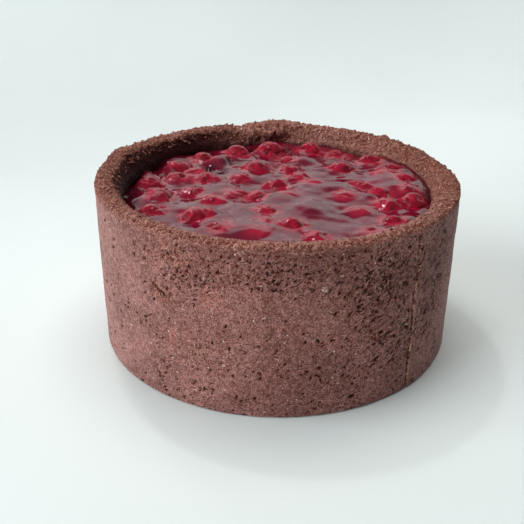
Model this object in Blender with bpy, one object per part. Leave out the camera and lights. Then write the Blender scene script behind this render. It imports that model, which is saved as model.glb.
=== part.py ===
"""A cherry cheesecake: a tall case of pressed chocolate crumbs, topped with cherries in red jelly.

Metres, +Z up. The cake stands on z = 0 with its middle on the Z axis, and -Y is its front.
The whole cake is uncut, so the case and all that it hides are one solid.
"""

import math
import random

import bmesh
import bpy
from mathutils import Euler, Vector, noise

MM = 0.001
GAP = 0.3 * MM  # left between pieces that touch
SEED = 7

# The case of pressed crumbs.
CASE_RADIUS = 90.0 * MM
CASE_STEPS = 108  # points round the case
FOOT_ROUND = 1.2 * MM
RIM_HEIGHT = 83.6 * MM
RIM_SLOPE = 0.9 * MM  # how much higher the rim stands on one side
RIM_SLOPE_AZIMUTH = 150.0
RIM_BUMPS = (  # azimuth, half width in degrees, height
    (90.0, 9.0, 1.8 * MM),
    (104.0, 3.0, -1.8 * MM),
    (163.0, 8.0, 1.9 * MM),
    (44.0, 1.2, 1.3 * MM),
    (15.0, 9.0, -0.9 * MM),
)
RIM_WIDTH = 9.5 * MM
RIM_ROUND = 1.8 * MM
WALL_RINGS = 5  # rings of points between the foot and the rim
WALL_DENTS = 0.35 * MM
WALL_DENT_SIZE = 13.0 * MM
RIM_WAVES = 0.8 * MM
RIM_WAVE_SIZE = 9.0 * MM
RIM_CRAGS = 0.75 * MM  # how far single crumbs stand in or out
FRONT_WEAR = 0.9 * MM  # how much lower the rim's inner edge is at the front
FRONT_AZIMUTH = -90.0
FRONT_HALF_WIDTH = 60.0  # degrees

# The upright joint where the two ends of the crumb wall were pressed together.
JOINT_AZIMUTH = -48.0
JOINT_HALF_WIDTH = 0.5  # degrees
JOINT_DEPTH = 0.9 * MM
JOINT_LIP = 0.35 * MM
JOINT_LIP_SPREAD = 5.0  # degrees
JOINT_FOOT_CRACK = 1.6 * MM
JOINT_FOOT_HEIGHT = 7.0 * MM

# Crumbs that hang inwards from the rim at the back.
OVERHANG_AZIMUTH = 93.5
OVERHANG_HALF_WIDTH = 8.5  # degrees
OVERHANG_REACH = 3.2 * MM

# The hollow in the top of the case, which the jelly fills.
HOLLOW_RADIUS = 76.8 * MM
HOLLOW_FLOOR = 60.0 * MM
HOLLOW_LINE = 76.6 * MM  # where the hollow's wall starts to lean outwards

# The jelly.
JELLY_RINGS = 16
JELLY_LEVEL = 74.5 * MM
JELLY_WAVES = 0.7 * MM
JELLY_WAVE_SIZE = 11.0 * MM
COLLAR_HEIGHT = 1.1 * MM  # how far the jelly climbs round a cherry
COLLAR_SPREAD = 3.5 * MM
SUNK_CHERRY_SPREAD = 5.0 * MM
SUNK_CHERRIES = (  # east, north and the mound's height above the jelly, in millimetres
    (57, 22, 2.2),
    (-43, 20, 2.4),
    (-68, 15, 2.0),
    (11, 14, 2.4),
    (0, 3, 2.6),
    (16, -64, 2.4),
    (-6, -46, 2.2),
    (-22, -9, 1.8),
)

# The cherries that stand out of the jelly, row by row from the back to the front:
# east and north of the middle, diameter, and the crown's height above the jelly, in millimetres.
CHERRY_ROWS = (
    ((-3, 61, 20, 5.8), (20, 62, 17, 5.0), (36, 55, 15, 2.8), (-22, 53, 17, 5.6)),
    ((-41, 45, 15, 4.2), (6, 44, 14, 2.6), (52.5, 42.5, 16, 4.4)),
    ((-53, 30, 16, 4.4), (-10, 29, 17, 4.8), (8, 28, 14, 2.6), (35, 31, 16, 3.6), (61.5, 28, 15, 4.2)),
    ((-52, 14, 14, 3.4), (-35.5, 11, 16, 4.2), (-19.5, 13, 14, 3.0), (66.5, 12.5, 15, 4.4)),
    ((-65, 5, 15, 4.0), (18, 5, 14, 2.8), (42, 4, 14, 2.6), (66, -3, 14, 3.2)),
    ((-58, -14, 17, 4.8), (-43, -7, 14, 2.2), (-11, -15, 15, 3.4), (6, -11, 14, 2.6)),
    ((34, -12, 15, 2.6), (51, -8, 14, 4.2), (66, -18.5, 14, 4.6)),
    ((-59, -33, 15, 4.0), (-31, -19, 14, 3.0), (51.5, -24, 15, 3.2)),
    ((-37, -38, 18, 4.6), (-5, -34, 15, 3.8), (38, -30.5, 13, 1.8), (52, -44, 14, 3.8)),
    ((-25, -54, 15, 3.0), (-9, -59, 16, 3.2), (6, -51, 15, 4.6), (41, -55, 13, 2.4)),
)
CHERRY_SEGMENTS = 9
CHERRY_RINGS = 6
CHERRY_SQUASH = 0.92  # a cherry's height from stem to tip, for a width of 1
STEM_DIMPLE = 0.2  # its depth, for a radius of 1
STEM_DIMPLE_ANGLE = 0.45  # its spread, in radians
CHERRY_UNEVENNESS = 0.05


def clear_scene():
    for item in list(bpy.data.objects):
        bpy.data.objects.remove(item, do_unlink=True)


def make_material(name, colour, roughness, coat=0.0):
    material = bpy.data.materials.new(name)
    material.use_nodes = True
    shader = material.node_tree.nodes["Principled BSDF"]
    shader.inputs["Base Color"].default_value = (*colour, 1.0)
    shader.inputs["Roughness"].default_value = roughness
    shader.inputs["Metallic"].default_value = 0.0
    shader.inputs["Coat Weight"].default_value = coat
    material.diffuse_color = (*colour, 1.0)
    return material


def add_object(name, mesh_builder, material, sharp_angle=None):
    """Turn a bmesh into a smooth shaded object."""
    mesh = bpy.data.meshes.new(name)
    mesh_builder.to_mesh(mesh)
    mesh_builder.free()
    mesh.shade_smooth()
    if sharp_angle is not None:
        mesh.set_sharp_from_angle(angle=math.radians(sharp_angle))
    if material is not None:
        mesh.materials.append(material)
    item = bpy.data.objects.new(name, mesh)
    bpy.context.scene.collection.objects.link(item)
    return item


def bell(distance, half_width):
    """A smooth bump of height 1 that fades out with distance."""
    return math.exp(-((distance / half_width) ** 2))


def degrees_between(azimuth, other):
    return (azimuth - other + 180.0) % 360.0 - 180.0


def polar(radius, azimuth, height=0.0):
    angle = math.radians(azimuth)
    return Vector((radius * math.cos(angle), radius * math.sin(angle), height))


def relief(point, size, depth):
    """Smooth noise between -depth and +depth, with lumps about as wide as size."""
    return depth * noise.noise(point / size)


# ---------------------------------------------------------------- the crumb case


def rim_height(azimuth):
    height = RIM_HEIGHT
    height += RIM_SLOPE * math.cos(math.radians(azimuth - RIM_SLOPE_AZIMUTH))
    for middle, half_width, rise in RIM_BUMPS:
        height += rise * bell(degrees_between(azimuth, middle), half_width)
    return height


def joint_relief(azimuth, height):
    """How far the wall stands in or out at the upright joint."""
    offset = degrees_between(azimuth, JOINT_AZIMUTH)
    foot = max(0.0, 1.0 - height / JOINT_FOOT_HEIGHT)
    groove = (JOINT_DEPTH + JOINT_FOOT_CRACK * foot) * bell(offset, JOINT_HALF_WIDTH)
    lip = JOINT_LIP * bell(offset, JOINT_LIP_SPREAD) if offset > JOINT_HALF_WIDTH else 0.0
    return lip - groove


def wall_radius(azimuth, height):
    point = polar(CASE_RADIUS, azimuth, height)
    dent = abs(relief(point, WALL_DENT_SIZE, WALL_DENTS))
    return CASE_RADIUS - dent + joint_relief(azimuth, height)


def outer_profile(azimuth):
    """Radius and height of the outside, from the foot to the start of the rim."""
    foot = max(0.0, -joint_relief(azimuth, 0.0))
    profile = [
        (CASE_RADIUS - FOOT_ROUND - foot, 0.0),
        (CASE_RADIUS - foot, FOOT_ROUND),
    ]
    top = rim_height(azimuth) - RIM_ROUND
    for ring in range(1, WALL_RINGS + 1):
        height = FOOT_ROUND + (top - FOOT_ROUND) * ring / WALL_RINGS
        profile.append((wall_radius(azimuth, height), height))
    return profile


def rim_profile(azimuth, draw):
    """Radius and height over the rim and down to the hollow, with crumbs standing out."""
    top = rim_height(azimuth)
    inner_edge = CASE_RADIUS - RIM_WIDTH
    hang = OVERHANG_REACH * bell(degrees_between(azimuth, OVERHANG_AZIMUTH), OVERHANG_HALF_WIDTH)
    worn = FRONT_WEAR * bell(degrees_between(azimuth, FRONT_AZIMUTH), FRONT_HALF_WIDTH)
    smooth = (
        (CASE_RADIUS - 0.3 * RIM_ROUND, top - 0.35 * RIM_ROUND, 0.3),
        (CASE_RADIUS - 1.1 * RIM_ROUND, top, 0.7),
        (CASE_RADIUS - 0.6 * RIM_WIDTH, top + 0.1 * MM, 0.8),
        (inner_edge + 0.6 * MM - 0.5 * hang, top - 0.9 * MM - worn, 1.0),
        (inner_edge - 0.7 * MM - hang, top - 2.8 * MM - 0.6 * worn, 0.8),
        (inner_edge - 2.0 * MM - 0.4 * hang, top - 5.2 * MM, 0.5),
    )
    profile = []
    for radius, height, crumbliness in smooth:
        wave = relief(polar(radius, azimuth, height), RIM_WAVE_SIZE, RIM_WAVES)
        outwards = crumbliness * (wave + draw.uniform(-RIM_CRAGS, RIM_CRAGS))
        upwards = crumbliness * (wave + draw.uniform(-RIM_CRAGS, RIM_CRAGS))
        profile.append((min(radius + outwards, CASE_RADIUS), height + upwards))
    return profile


def hollow_profile():
    return [
        (HOLLOW_RADIUS + 0.3 * MM, HOLLOW_LINE),
        (HOLLOW_RADIUS, JELLY_LEVEL - 1.0 * MM),
        (HOLLOW_RADIUS, HOLLOW_FLOOR),
    ]


def case_azimuths():
    """Even steps round the case, with closer ones at the upright joint."""
    even = [360.0 * step / CASE_STEPS for step in range(CASE_STEPS)]
    spacing = 0.5 * 360.0 / CASE_STEPS
    even = [azimuth for azimuth in even if abs(degrees_between(azimuth, JOINT_AZIMUTH)) > spacing]
    close = [(JOINT_AZIMUTH + offset * JOINT_HALF_WIDTH) % 360.0 for offset in (-2.0, -1.0, 0.0, 1.2)]
    return sorted(even + close)


def build_case():
    builder = bmesh.new()
    draw = random.Random(SEED)
    columns = []
    for azimuth in case_azimuths():
        profile = outer_profile(azimuth) + rim_profile(azimuth, draw) + hollow_profile()
        columns.append([builder.verts.new(polar(radius, azimuth, height)) for radius, height in profile])
    under = builder.verts.new((0.0, 0.0, 0.0))
    floor = builder.verts.new((0.0, 0.0, HOLLOW_FLOOR))
    for index, column in enumerate(columns):
        following = columns[(index + 1) % len(columns)]
        builder.faces.new((under, following[0], column[0]))
        builder.faces.new((floor, column[-1], following[-1]))
        for lower in range(len(column) - 1):
            corners = (column[lower], following[lower], following[lower + 1], column[lower + 1])
            builder.faces.new(corners)
    crumb = make_material("chocolate_crumb", (0.11, 0.055, 0.048), 0.85)
    return add_object("crust", builder, crumb, sharp_angle=40.0)


# ---------------------------------------------------------------- the cherries


def cherry_places():
    places = []
    for row in CHERRY_ROWS:
        for east, north, diameter, crown in row:
            places.append((east * MM, north * MM, diameter * MM, crown * MM))
    return places


def cherry_radius(direction, draw):
    """Distance from the middle to the skin, for a cherry whose stem end is +Z."""
    from_stem = math.acos(max(-1.0, min(1.0, direction.z)))
    dimple = STEM_DIMPLE * bell(from_stem, STEM_DIMPLE_ANGLE)
    return 1.0 - dimple - draw.uniform(0.0, CHERRY_UNEVENNESS)


def cherry_mesh(place, draw, margin):
    """A cherry, or with a margin the pocket that it sits in."""
    east, north, diameter, crown = place
    radius = diameter / 2.0
    turn = Euler([draw.uniform(0.0, math.tau) for _ in range(3)]).to_matrix()
    builder = bmesh.new()
    bmesh.ops.create_uvsphere(builder, u_segments=CHERRY_SEGMENTS, v_segments=CHERRY_RINGS, radius=1.0)
    for vertex in builder.verts:
        direction = vertex.co.normalized()
        skin = direction * cherry_radius(direction, draw)
        skin.z *= CHERRY_SQUASH
        vertex.co = turn @ skin * radius
    top = max(vertex.co.z for vertex in builder.verts)
    middle = Vector((east, north, JELLY_LEVEL + crown - top))
    growth = 1.0 + margin / (radius * (1.0 - STEM_DIMPLE))
    for vertex in builder.verts:
        vertex.co = middle + vertex.co * growth
    return builder


def build_cherries():
    skin = make_material("cherry_skin", (0.32, 0.006, 0.016), 0.15, coat=1.0)
    for number, place in enumerate(cherry_places(), start=1):
        draw = random.Random(SEED + number)
        add_object(f"cherry_{number:02d}", cherry_mesh(place, draw, 0.0), skin)


def build_pockets():
    """One hidden mesh of all the cherries, a gap larger, that hollows the jelly."""
    pockets = bmesh.new()
    for number, place in enumerate(cherry_places(), start=1):
        pocket = cherry_mesh(place, random.Random(SEED + number), GAP)
        shape = bpy.data.meshes.new("pocket")
        pocket.to_mesh(shape)
        pocket.free()
        pockets.from_mesh(shape)
        bpy.data.meshes.remove(shape)
    cutter = add_object("pocket_cutter", pockets, None)
    cutter.hide_render = True
    cutter.display_type = "WIRE"
    return cutter


# ---------------------------------------------------------------- the jelly


def jelly_height(x, y):
    height = JELLY_LEVEL + relief(Vector((x, y, 0.0)), JELLY_WAVE_SIZE, JELLY_WAVES)
    collar = 0.0
    for east, north, diameter, _ in cherry_places():
        beyond = max(0.0, math.hypot(x - east, y - north) - 0.4 * diameter)
        collar = max(collar, COLLAR_HEIGHT * bell(beyond, COLLAR_SPREAD))
    mound = 0.0
    for east, north, rise in SUNK_CHERRIES:
        beside = math.hypot(x - east * MM, y - north * MM)
        mound = max(mound, rise * MM * bell(beside, SUNK_CHERRY_SPREAD))
    return height + max(collar, mound)


def jelly_ring(builder, ring):
    """A ring of the jelly's top, with six more points than the ring inside it."""
    radius = (HOLLOW_RADIUS - GAP) * ring / JELLY_RINGS
    count = max(1, 6 * ring)
    points = []
    for step in range(count):
        place = polar(radius, 360.0 * step / count)
        place.z = jelly_height(place.x, place.y)
        points.append(builder.verts.new(place))
    return points


def fill_between(builder, inner, outer, ring):
    """Triangles between two neighbouring rings of 6 * ring and 6 * (ring + 1) points."""
    for sector in range(6):
        for step in range(ring + 1):
            first = outer[(sector * (ring + 1) + step) % len(outer)]
            second = outer[(sector * (ring + 1) + step + 1) % len(outer)]
            near = inner[(sector * ring + step) % len(inner)]
            builder.faces.new((near, first, second))
            if step < ring:
                builder.faces.new((near, second, inner[(sector * ring + step + 1) % len(inner)]))


def build_jelly():
    builder = bmesh.new()
    rings = [jelly_ring(builder, ring) for ring in range(JELLY_RINGS + 1)]
    for ring in range(JELLY_RINGS):
        fill_between(builder, rings[ring], rings[ring + 1], ring)
    edge = rings[-1]
    bottom = HOLLOW_FLOOR + GAP
    foot = [builder.verts.new((point.co.x, point.co.y, bottom)) for point in edge]
    middle = builder.verts.new((0.0, 0.0, bottom))
    for index, point in enumerate(edge):
        following = (index + 1) % len(edge)
        builder.faces.new((point, foot[index], foot[following], edge[following]))
        builder.faces.new((middle, foot[following], foot[index]))
    glaze = make_material("cherry_jelly", (0.16, 0.004, 0.014), 0.06, coat=1.0)
    return add_object("jelly", builder, glaze, sharp_angle=60.0)


def cut_pockets(jelly, cutter):
    cut = jelly.modifiers.new("pockets", "BOOLEAN")
    cut.operation = "DIFFERENCE"
    cut.solver = "EXACT"
    cut.object = cutter


def main():
    clear_scene()
    build_case()
    build_cherries()
    jelly = build_jelly()
    cut_pockets(jelly, build_pockets())


main()
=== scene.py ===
"""The looks of a cherry cheesecake: its crumb case, jelly and cherries, on a plain pale floor.

Metres, +Z up. The cake stands on z = 0 with its middle on the Z axis, and -Y is its front.
Azimuths are degrees from +X towards +Y. A few tables are in millimetres, and say so.
The wall, the rim, the jelly and each cherry are fine meshes that stand for the plain solids.
"""

import itertools
import math
import random

import bmesh
import bpy
import numpy as np
from mathutils import Euler, Matrix, Vector


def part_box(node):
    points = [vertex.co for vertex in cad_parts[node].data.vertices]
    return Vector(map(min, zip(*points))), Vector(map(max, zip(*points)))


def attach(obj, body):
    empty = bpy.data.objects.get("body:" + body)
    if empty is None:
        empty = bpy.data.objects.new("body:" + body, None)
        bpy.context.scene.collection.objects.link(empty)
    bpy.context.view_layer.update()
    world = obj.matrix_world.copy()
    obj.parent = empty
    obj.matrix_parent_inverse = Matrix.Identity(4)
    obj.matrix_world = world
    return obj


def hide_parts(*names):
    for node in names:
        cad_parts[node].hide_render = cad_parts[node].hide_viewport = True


MM = 0.001
SEED = 7

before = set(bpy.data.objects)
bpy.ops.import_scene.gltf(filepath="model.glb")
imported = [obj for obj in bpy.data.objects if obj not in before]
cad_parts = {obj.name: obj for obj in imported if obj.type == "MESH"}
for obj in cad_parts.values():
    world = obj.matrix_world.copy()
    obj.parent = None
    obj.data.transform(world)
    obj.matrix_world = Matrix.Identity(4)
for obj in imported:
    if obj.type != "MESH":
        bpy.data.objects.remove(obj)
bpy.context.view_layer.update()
CRUST_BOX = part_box("crust")
JELLY_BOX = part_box("jelly")

# The crumb case, with the solid's own sizes.
CASE_RADIUS = CRUST_BOX[1].x
TOP_LIMIT = CRUST_BOX[1].z
FOOT_ROUND = 1.2 * MM
RIM_HEIGHT = 83.6 * MM
RIM_SLOPE = 0.9 * MM  # how much higher the rim stands on one side
RIM_SLOPE_AZIMUTH = 150.0
RIM_BUMPS = (  # azimuth, half width in degrees, height in millimetres
    (90, 9, 1.8),
    (104, 3, -1.8),
    (163, 8, 1.9),
    (44, 1.2, 1.3),
    (15, 9, -0.9),
)
RIM_WIDTH = 9.5 * MM
RIM_ROUND = 1.8 * MM
WALL_DENTS = 0.35 * MM
WALL_DENT_SIZE = 13.0 * MM
RIM_WAVES = 0.8 * MM
RIM_WAVE_SIZE = 9.0 * MM
JOINT_AZIMUTH = -48.0
JOINT_WANDER = 0.35  # degrees
JOINT_BEND_SIZE = 9.0 * MM
JOINT_HALF_WIDTH = 0.42  # degrees
JOINT_DEPTH = 0.9 * MM
JOINT_LIP = 0.35 * MM
JOINT_LIP_SPREAD = 5.0  # degrees
JOINT_FOOT_CRACK = 1.6 * MM
JOINT_FOOT_HEIGHT = 7.0 * MM
JOINT_RIDGE_OFFSET = 0.5  # degrees to the right of the joint
OVERHANG = (93.5, 8.5)  # azimuth and half width in degrees
OVERHANG_REACH = 3.6 * MM
OVERHANG_LUMPS = 1.8 * MM
OVERHANG_LUMP_SIZE = 2.2 * MM
WORN_FRONT = (-90.0, 60.0)  # azimuth and half width in degrees
FRONT_WEAR = 0.9 * MM  # how much lower the rim's inner edge is at the front
HOLLOW_RADIUS = JELLY_BOX[1].x + 0.3 * MM
HOLLOW_FLOOR = JELLY_BOX[0].z - 0.3 * MM
HOLLOW_LINE = 76.6 * MM

# How finely the case is modelled.
WALL_STEPS = 800
WALL_RINGS = 106
JOINT_STEPS = 22
RIM_STEPS = 1640
RIM_RINGS = 44

# The pits between the pressed crumbs of the wall.
PIT_SPACING = 2.2 * MM
PIT_DEPTH = 0.8 * MM
PIT_WARP = (1.3 * MM, 0.8 * MM)  # size and reach of the noise that makes pits uneven
PIT_SHARE = 0.32  # of the places that could have a pit
PIT_SHARE_SPREAD = 0.22
PIT_PATCH_SIZE = 17.0 * MM
PIT_ZONES = (  # azimuth, height in millimetres, half width in degrees, half height, how many more pits
    (-90, 70, 16, 10, 0.24),
    (-62, 62, 12, 16, 0.6),
    (-38, 50, 9, 28, 0.7),
    (-54, 32, 6, 18, 0.35),
    (-120, 66, 14, 14, 0.2),
    (-100, 20, 34, 18, -0.1),
    (-61, 30, 13, 14, 0.3),
    (-78, 28, 16, 22, 0.12),
    (-95, 57, 7, 5, -0.5),
    (-80, 52, 7, 9, -0.35),
    (-140, 42, 26, 40, -0.16),
    (110, 60, 40, 18, 0.3),
)
CRACKS = (  # azimuth, height in millimetres, half length, rise in degrees, depth in millimetres
    (-124.5, 55, 7, -32, 1),
    (-74.6, 51.5, 1.6, 20, 1.1),
    (-61.3, 24.4, 3.4, 12, 0.9),
    (-62.5, 21.6, 2.6, 14, 0.7),
    (-63, 44.5, 4, 24, 0.9),
    (-58, 35.5, 3, 50, 0.9),
    (-41, 38, 3, 55, 1.1),
    (-40.5, 26, 3.2, 40, 1.1),
    (-44, 53, 3.4, 30, 1.1),
    (-113.4, 81, 2.6, -14, 0.8),
    (-78.6, 25.3, 1.3, 0, 1),
    (-127, 12, 2.6, -45, 0.7),
    (-36, 68, 1.6, 40, 1),
    (-36.5, 58, 2.2, 55, 1.1),
    (-35, 52, 1.8, 20, 1),
    (-38, 44, 2.4, 60, 1.1),
    (-36, 36, 2, 60, 1),
    (-38, 22, 2.6, 50, 1.1),
    (-53, 58, 2.4, 50, 0.9),
    (-56, 20, 2.2, 35, 0.9),
)
CRACK_WIDTH = 0.55 * MM
CRACK_WARP = (2.0 * MM, 0.6 * MM)
SMALL_PITS = (  # size, rise in degrees, stretch, least noise where they are sparse and dense
    (0.9 * MM, 25.0, 1.6, 0.66, 0.575),
    (1.7 * MM, 38.0, 1.9, 0.72, 0.585),
)
# Places of painted glints: pale specks where light would catch the crumbs' edges.
GLINT_PLACES = (  # azimuth, height in millimetres
    (-94, 51),
    (-108, 50),
    (-105, 38),
    (-90, 31),
    (-105, 26),
    (-78.6, 63.7),
)
GLINT_SIZE = 1.5 * MM
GLINT_WARP = (1.2 * MM, 1.2 * MM)
CRUMBLY_PATCHES = (  # azimuth, height in millimetres, half width in degrees, half height, how crumbly
    (-124, 55, 5, 6, 1),
    (-121, 74, 6, 8, 0.9),
    (-60.8, 37, 2.4, 3, 0.9),
    (-98, 69, 19, 10, 0.6),
    (-61, 62, 13, 17, 0.55),
    (-36, 55, 9, 26, 0.5),
    (-113, 30, 6, 9, 0.6),
    (60, 55, 50, 20, 0.5),
)
FRESH_PATCHES = (  # azimuth, height in millimetres, half width in degrees, half height
    (-124, 55, 5, 6),
    (-120, 74, 8, 7),
    (-121, 34, 3, 6),
    (-109, 57, 4, 6),
    (-60.8, 37, 3, 3),
    (-47.5, 72, 1.6, 9),
)

# The crumbs that the wall is pressed from.
WALL_CRUMB_SIZE = 1.7 * MM
LOOSE_DEPTH = 0.4 * MM  # of the gaps between crumbs where they are loose
WALL_GRAIN = 0.07 * MM
WALL_GRAIN_SIZE = 1.3 * MM

# The rim's crumbs, and where shade is painted on its sides and its inner side.
CLUMP_SIZE = 3.4 * MM
CLUMP_HEIGHT = 0.75 * MM
RIM_CRUMB_SIZE = 1.25 * MM
RIM_WARP = (2.0 * MM, 0.5 * MM)
SHADED_SIDES = ((178.0, 42.0, 0.85), (2.0, 48.0, 1.0))  # azimuth, half width in degrees, and how dark the painted shade is
JUICE_AND_SHADE_LINE = (76.0 * MM, 75.0 * MM)  # heights between which the inner side is painted darker, as a juice line and as painted shade
BACK_LEFT_SHADE = (156.0, 48.0)  # azimuth and half width in degrees of the part painted dark with shade high up
LIT_SIDE = (45.0, 55.0)  # azimuth and half width in degrees of the lit part, which gets no painted shade near the jelly

# Loose crumbs that stick to the rim and the wall.
RIM_CRUMBS = 3200
RIM_CRUMB_RINGS = (4, 32)  # of the rim's points, between which they lie
WALL_CRUMBS = 150
WALL_CRUMB_RINGS = 20  # above the foot, which most of them keep to
CRUMB_SIZES = (0.5 * MM, 1.9 * MM)
FRONT_BARENESS = 0.7  # the share of the rim's loose crumbs that is missing at the front

# The jelly.
JELLY_LEVEL = 75.0 * MM
JELLY_RINGS = 160
JELLY_OVERLAP = 0.9 * MM  # how far it reaches into the crumbs of the case
JELLY_WAVES = 2.1 * MM
JELLY_WAVE_SIZE = 15.0 * MM
RIPPLE_HEIGHT = 0.3 * MM
RIPPLE_SIZE = 5.0 * MM
CREASE_DEPTH = 0.6 * MM
CREASE_SIZE = 4.4 * MM
CREASE_WARP = (5.0 * MM, 1.5 * MM)
SKIN_CRACK_DEPTH = 0.3 * MM  # of the fine cracks in the jelly's skin, at the back left
SKIN_CRACK_SPACING = 11.0 * MM
SKIN_CRACK_WARPS = ((9.0 * MM, 3.5 * MM, 90), (2.5 * MM, 1.0 * MM, 93))  # and layers of noise
HUMP_WIDTH = 0.88  # of the hump that the jelly makes over a cherry, for a cherry's radius of 1
BARE_SPREAD = 0.08  # how much wider the hump round a bare cherry is
HUMP_BLEND = 1.8 * MM
HUMP_WARPS = ((7.0 * MM, 2.2 * MM), (2.8 * MM, 0.9 * MM))  # sizes and reaches
HUMP_FOLDS = ((2, 0.14), (3, 0.1), (5, 0.07))  # how many, and how much they widen or narrow a hump
HUMP_POINTS = (1.3, 3.4)  # from a pointed tent to a flat dome
HUMP_FILM = 0.3 * MM
LEAST_HUMP = 0.4 * MM
BARE_CROWN = 3.0 * MM  # how far a bare cherry stands out of its hump
EDGE_DIP = 0.4 * MM
EDGE_SPREAD = 2.0 * MM
LEFT_SIDE = (176.0, 38.0)  # azimuth and half width in degrees
LEFT_DIP = 2.0 * MM  # how much more the jelly dips beside the case on the left
LEFT_SPREAD = 2.6 * MM
WRINKLE_RISE = 0.3 * MM  # of the fine wrinkles over the humps
WRINKLE_SPACING = 2.2 * MM
WRINKLE_WARP = (3.0 * MM, 1.0 * MM)
SUNK_CHERRIES = (  # east, north, diameter and the hump's height over the jelly, in millimetres
    (57, 22, 14, 2.2),
    (-43, 20, 14, 2.4),
    (-68, 15, 12, 2.0),
    (11, 14, 15, 2.4),
    (0, 3, 14, 2.6),
    (16, -64, 14, 2.4),
    (-6, -46, 13, 2.2),
    (-22, -9, 14, 1.8),
)
JELLY_SWELLS = (  # east, north, radius, rise, in millimetres
    (26, -2, 42, 1.1),
    (22, -52, 20, 0.8),
    (-13, -57, 14, 1.3),
)
# Hollows in the jelly's top, which also get painted shade.
JELLY_HOLLOWS = (  # east, north, radius, depth, in millimetres
    (-72, -12, 4.5, 1.6),
    (-66, 38, 6, 1.6),
    (-36, 33, 3.2, 1.8),
    (-30, 27, 2.4, 1.4),
    (-26, 41, 3.2, 1.8),
    (-14, 66, 5, 1.8),
)
DARK_LEFT = (150.0, 52.0)  # azimuth and half width in degrees of the painted shade on the jelly beside the case
DARK_LEFT_REACH = 8.5 * MM
DARK_RIGHT = (5.0, 30.0)
DARK_RIGHT_REACH = 6.0 * MM
CLEAR_BACK = (75.0, 35.0)  # where the painted shade at the jelly's edge is thinnest

# The cherries.
CHERRY_SQUASH = 0.92
STEM_DIMPLE = 0.2
STEM_DIMPLE_ANGLE = 0.45
CHERRY_LUMPS = 0.05
CHERRY_LUMP_SIZE = 6.0 * MM
SKIN_WRINKLE_DEPTH = 0.24 * MM
SKIN_WRINKLE_SIZE = 2.6 * MM
SKIN_WRINKLE_WARP = (3.0 * MM, 0.8 * MM)

# Colours, linear.
PRESSED = (0.313, 0.125, 0.106, 1.0)
PRESSED_DARK = (0.235, 0.088, 0.074, 1.0)
LOOSE = (0.31, 0.138, 0.107, 1.0)
FLECK = (0.5, 0.19, 0.08, 1.0)  # of the lighter crumbs on the rim
SIDE_SHADE = (0.5, 0.44, 0.39, 1.0)  # what the rim's colour is multiplied by for painted shade on its left and right sides
FRESH = (0.42, 0.13, 0.085, 1.0)  # where crumbs broke off lately
# painted highlight on the crumbs' crests
CREST_HIGHLIGHT = (0.66, 0.44, 0.4, 1.0)
# Painted shade in the crumbs' gaps, pits and cracks and in the joint's groove: red-brown at the edges,
# dark inside.
GAP_SHADE = (0.15, 0.024, 0.013, 1.0)
PIT_SHADE = (0.04, 0.007, 0.004, 1.0)
# painted shade on the rim's inner side, with a juice line near the jelly
SHADED_JUICE_CRUMB = (0.03, 0.003, 0.004, 1.0)
# colour of the painted glints on the crumbs
GLINT_COLOUR = (0.75, 0.62, 0.52, 1.0)
# tan crumbs of the joint's ridge, painted lighter as a highlight on the lip's lit edge
JOINT_RIDGE_HIGHLIGHT = (0.62, 0.31, 0.21, 1.0)
GRAIN_TINT = (1.0, 1.3, 1.4)  # powers that make dark grain redder and bright grain greyer
CRUMB_SHINE = 0.06
WALL_SHEEN = 0.24
RIM_SHEEN = 0.06
JELLY_DEEP = (0.125, 0.002, 0.016, 1.0)
JELLY_THIN = (0.275, 0.005, 0.023, 1.0)
# painted shade on the jelly: beside the case, in its hollows and in its cracks
JELLY_SHADE = (0.02, 0.001, 0.003, 1.0)
CHERRY_RED = (0.3, 0.006, 0.024, 1.0)
CHERRY_DARK = (0.13, 0.002, 0.009, 1.0)
FLOOR_COLOUR = (0.74, 0.78, 0.77, 1.0)

# Sizes in the looks of the crumbs.
TONE_SIZE = 24.0 * MM
FLAKE_SIZE = 1.1 * MM
FLECK_SIZE = 0.9 * MM
GRAIN_SIZE = 0.55 * MM
GRAIN_RANGE = (0.6, 1.56)  # how dark and bright the finest grain is
MOTTLE_SIZE = 2.4 * MM
MOTTLE_RANGE = (0.8, 1.23)
CREST_SIZE = 0.9 * MM
CREST_WARP = (2.0 * MM, 1.0 * MM)
LOOSE_CELL_SIZE = 1.1 * MM
LOOSE_WARP = (1.2 * MM, 0.9 * MM)
TINY_GLINT_SPACING = 3.3 * MM

# The floor, which bends up behind the cake.
FLOOR_REACH = 3.0  # to the front and to both sides
BEND_START = 0.44
BEND_RADIUS = 0.35
BACKDROP_TOP = 1.5
BACKDROP_GLOW = 0.29
GLOW_COLOUR = (0.92, 1.0, 0.97, 1.0)
BACKDROP_RISE = (0.16, 0.4)  # heights between which the backdrop starts to glow
BACKDROP_FADE = (0.5, 0.85)  # heights between which painted shade darkens it
FLOOR_SHADE = 0.78  # how dark painted shade makes the floor, far away to the left and back
FLOOR_FADE = (0.05, 0.65)

# Lamps: azimuth, elevation, distance, size, power, colour, and whether one shows as a highlight.
LAMPS = {
    "window_light": (199.0, 22.0, 2.6, (2.4, 2.0), 57.0, (0.91, 1.0, 1.02), False),
    "window_shine": (199.0, 22.0, 2.5, (2.3, 1.9), 16.0, (0.91, 1.0, 1.02), True),
    "ceiling_light": (90.0, 80.0, 1.6, (1.2, 1.2), 17.0, (1.0, 0.99, 0.97), False),
    "small_light": (118.0, 66.0, 1.4, (0.07, 0.07), 2.0, (1.0, 1.0, 1.0), True),
    "crest_light": (124.0, 46.0, 0.9, (0.08, 0.03), 0.4, (1.0, 1.0, 1.0), True),
}
LAMP_AIM = (0.0, 0.0, 0.05)
ROOM_COLOUR = (0.95, 1.0, 0.99, 1.0)
ROOM_LIGHT = 0.16

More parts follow.
